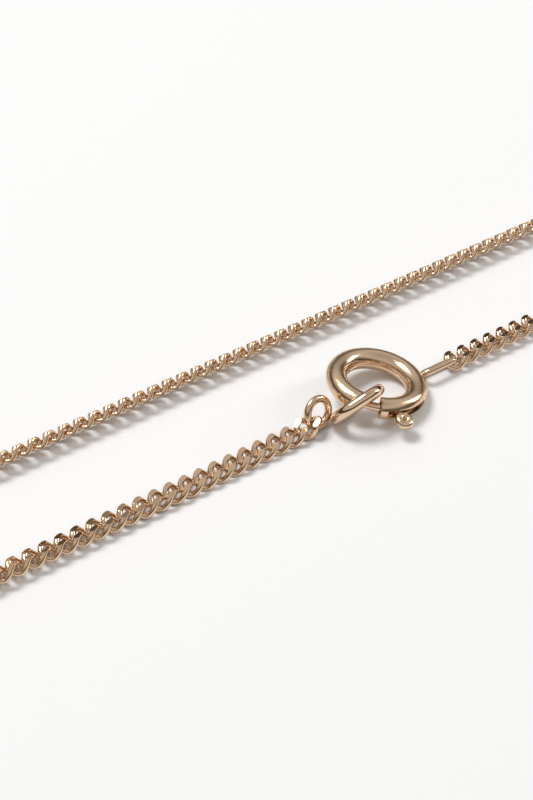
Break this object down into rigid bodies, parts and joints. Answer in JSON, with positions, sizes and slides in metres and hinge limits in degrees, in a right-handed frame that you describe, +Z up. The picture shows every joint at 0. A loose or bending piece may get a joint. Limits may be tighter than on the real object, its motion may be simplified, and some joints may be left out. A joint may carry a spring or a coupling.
{
  "type": "chain necklace",
  "caption": "Fine diamond-cut curb chain necklace closed by a sprung bolt ring, oval jump ring and round end ring, lying in a loop.",
  "frame": {"origin": "centre of the bounding box at the surface that the necklace lies on", "axes": "+Z up from the surface; +X runs to the right of the clasp's front, with the thumb lug towards -Y; +Y away from the front"},
  "size_m": [0.1028, 0.0898, 0.0028],
  "materials": {
    "gold": "polished 9 carat gold",
    "gold_polished": "high polish",
    "spring_steel": "drawn wire"
  },
  "bodies": {
    "clasp": {"case": "gold", "spring_stop": "gold", "eye": "gold", "coil_spring": "spring_steel"},
    "bolt": {"bolt": "gold", "thumb_lug": "gold"},
    "jump_ring": {"jump_ring": "gold_polished"},
    "end_ring": {"end_ring": "gold"},
    "chain_r01": {"chain_r01": "gold"},
    "chain_r02": {"chain_r02": "gold"},
    "chain_r03": {"chain_r03": "gold"},
    "chain_r04": {"chain_r04": "gold"},
    "chain_r05": {"chain_r05": "gold"},
    "chain_r06": {"chain_r06": "gold"},
    "chain_r07": {"chain_r07": "gold"},
    "chain_r08": {"chain_r08": "gold"},
    "chain_r09": {"chain_r09": "gold"},
    "chain_r10": {"chain_r10": "gold"},
    "chain_r11": {"chain_r11": "gold"},
    "chain_r12": {"chain_r12": "gold"},
    "chain_r13": {"chain_r13": "gold"},
    "chain_l01": {"chain_l01": "gold"},
    "chain_l02": {"chain_l02": "gold"},
    "chain_l03": {"chain_l03": "gold"},
    "chain_l04": {"chain_l04": "gold"},
    "chain_l05": {"chain_l05": "gold"},
    "chain_l06": {"chain_l06": "gold"},
    "chain_l07": {"chain_l07": "gold"},
    "chain_l08": {"chain_l08": "gold"},
    "chain_l09": {"chain_l09": "gold"},
    "chain_l10": {"chain_l10": "gold"},
    "chain_l11": {"chain_l11": "gold"}
  },
  "joints": [
    {"name": "bolt_travel", "type": "hinge", "parent": "clasp", "child": "bolt", "pos_m": [0.00674, -0.00044, 0.0011], "axis": [0.1912, 0.0566, 0.9799], "range_deg": [0, 34], "stiffness_Nm_per_rad": 0.0002, "springref_deg": -17.19, "deforming": ["coil_spring"]},
    {"name": "jump_ring_lift", "type": "hinge", "parent": "clasp", "child": "jump_ring", "pos_m": [0.00566, -0.00253, 0.00143], "axis": [-0.869, 0.474, 0.142], "range_deg": [0, 4]},
    {"name": "end_ring_lift", "type": "hinge", "parent": "jump_ring", "child": "end_ring", "pos_m": [0.00443, -0.00286, 0.00051], "axis": [0.3529, 0.8188, -0.4529], "range_deg": [0, 8]},
    {"name": "chain_r01_bend", "type": "hinge", "parent": "clasp", "child": "chain_r01", "pos_m": [0.01107, 0.00244, 0.00049], "axis": [0, 0, -1], "range_deg": [0, 4]},
    {"name": "chain_r02_bend", "type": "hinge", "parent": "chain_r01", "child": "chain_r02", "pos_m": [0.0253, 0.00723, 0.00035], "axis": [0, 0, -1], "range_deg": [0, 6]},
    {"name": "chain_r03_bend", "type": "hinge", "parent": "chain_r02", "child": "chain_r03", "pos_m": [0.0288, -0.0075, 0.00035], "axis": [0, 0, -1], "range_deg": [0, 6]},
    {"name": "chain_r04_bend", "type": "hinge", "parent": "chain_r03", "child": "chain_r04", "pos_m": [0.03721, -0.01953, 0.00035], "axis": [0, 0, -1], "range_deg": [0, 6]},
    {"name": "chain_r05_bend", "type": "hinge", "parent": "chain_r04", "child": "chain_r05", "pos_m": [0.05012, -0.01265, 0.00035], "axis": [0, 0, -1], "range_deg": [0, 6]},
    {"name": "chain_r06_bend", "type": "hinge", "parent": "chain_r05", "child": "chain_r06", "pos_m": [0.0508, 0.00327, 0.00035], "axis": [0, 0, -1], "range_deg": [0, 6]},
    {"name": "chain_r07_bend", "type": "hinge", "parent": "chain_r06", "child": "chain_r07", "pos_m": [0.0508, 0.01927, 0.00035], "axis": [0, 0, -1], "range_deg": [0, 6]},
    {"name": "chain_r08_bend", "type": "hinge", "parent": "chain_r07", "child": "chain_r08", "pos_m": [0.05062, 0.03526, 0.00035], "axis": [0, 0, -1], "range_deg": [0, 6]},
    {"name": "chain_r09_bend", "type": "hinge", "parent": "chain_r08", "child": "chain_r09", "pos_m": [0.03908, 0.04424, 0.00035], "axis": [0, 0, -1], "range_deg": [0, 6]},
    {"name": "chain_r10_bend", "type": "hinge", "parent": "chain_r09", "child": "chain_r10", "pos_m": [0.02882, 0.03382, 0.00035], "axis": [0, 0, -1], "range_deg": [0, 6]},
    {"name": "chain_r11_bend", "type": "hinge", "parent": "chain_r10", "child": "chain_r11", "pos_m": [0.02333, 0.01994, 0.00035], "axis": [0, 0, -1], "range_deg": [0, 6]},
    {"name": "chain_r12_bend", "type": "hinge", "parent": "chain_r11", "child": "chain_r12", "pos_m": [0.01025, 0.01071, 0.00035], "axis": [0, 0, -1], "range_deg": [0, 6]},
    {"name": "chain_r13_bend", "type": "hinge", "parent": "chain_r12", "child": "chain_r13", "pos_m": [-0.00282, 0.00149, 0.00035], "axis": [0, 0, -1], "range_deg": [0, 6]},
    {"name": "chain_l01_bend", "type": "hinge", "parent": "end_ring", "child": "chain_l01", "pos_m": [0.00298, -0.0038, 0.00062], "axis": [0, 0, 1], "range_deg": [0, 6]},
    {"name": "chain_l02_bend", "type": "hinge", "parent": "chain_l01", "child": "chain_l02", "pos_m": [-0.00975, -0.0128, 0.00035], "axis": [0, 0, 1], "range_deg": [0, 6]},
    {"name": "chain_l03_bend", "type": "hinge", "parent": "chain_l02", "child": "chain_l03", "pos_m": [-0.02268, -0.02223, 0.00035], "axis": [0, 0, 1], "range_deg": [0, 6]},
    {"name": "chain_l04_bend", "type": "hinge", "parent": "chain_l03", "child": "chain_l04", "pos_m": [-0.02909, -0.03578, 0.00035], "axis": [0, 0, 1], "range_deg": [0, 6]},
    {"name": "chain_l05_bend", "type": "hinge", "parent": "chain_l04", "child": "chain_l05", "pos_m": [-0.04105, -0.04419, 0.00035], "axis": [0, 0, 1], "range_deg": [0, 6]},
    {"name": "chain_l06_bend", "type": "hinge", "parent": "chain_l05", "child": "chain_l06", "pos_m": [-0.0508, -0.03329, 0.00035], "axis": [0, 0, 1], "range_deg": [0, 6]},
    {"name": "chain_l07_bend", "type": "hinge", "parent": "chain_l06", "child": "chain_l07", "pos_m": [-0.0508, -0.01729, 0.00035], "axis": [0, 0, -1], "range_deg": [0, 6]},
    {"name": "chain_l08_bend", "type": "hinge", "parent": "chain_l07", "child": "chain_l08", "pos_m": [-0.0508, -0.00129, 0.00035], "axis": [0, 0, -1], "range_deg": [0, 6]},
    {"name": "chain_l09_bend", "type": "hinge", "parent": "chain_l08", "child": "chain_l09", "pos_m": [-0.04613, 0.01317, 0.00035], "axis": [0, 0, -1], "range_deg": [0, 6]},
    {"name": "chain_l10_bend", "type": "hinge", "parent": "chain_l09", "child": "chain_l10", "pos_m": [-0.0316, 0.01149, 0.00035], "axis": [0, 0, -1], "range_deg": [0, 6]},
    {"name": "chain_l11_bend", "type": "hinge", "parent": "chain_l10", "child": "chain_l11", "pos_m": [-0.02879, -0.00381, 0.00035], "axis": [0, 0, -1], "range_deg": [0, 6]}
  ]
}
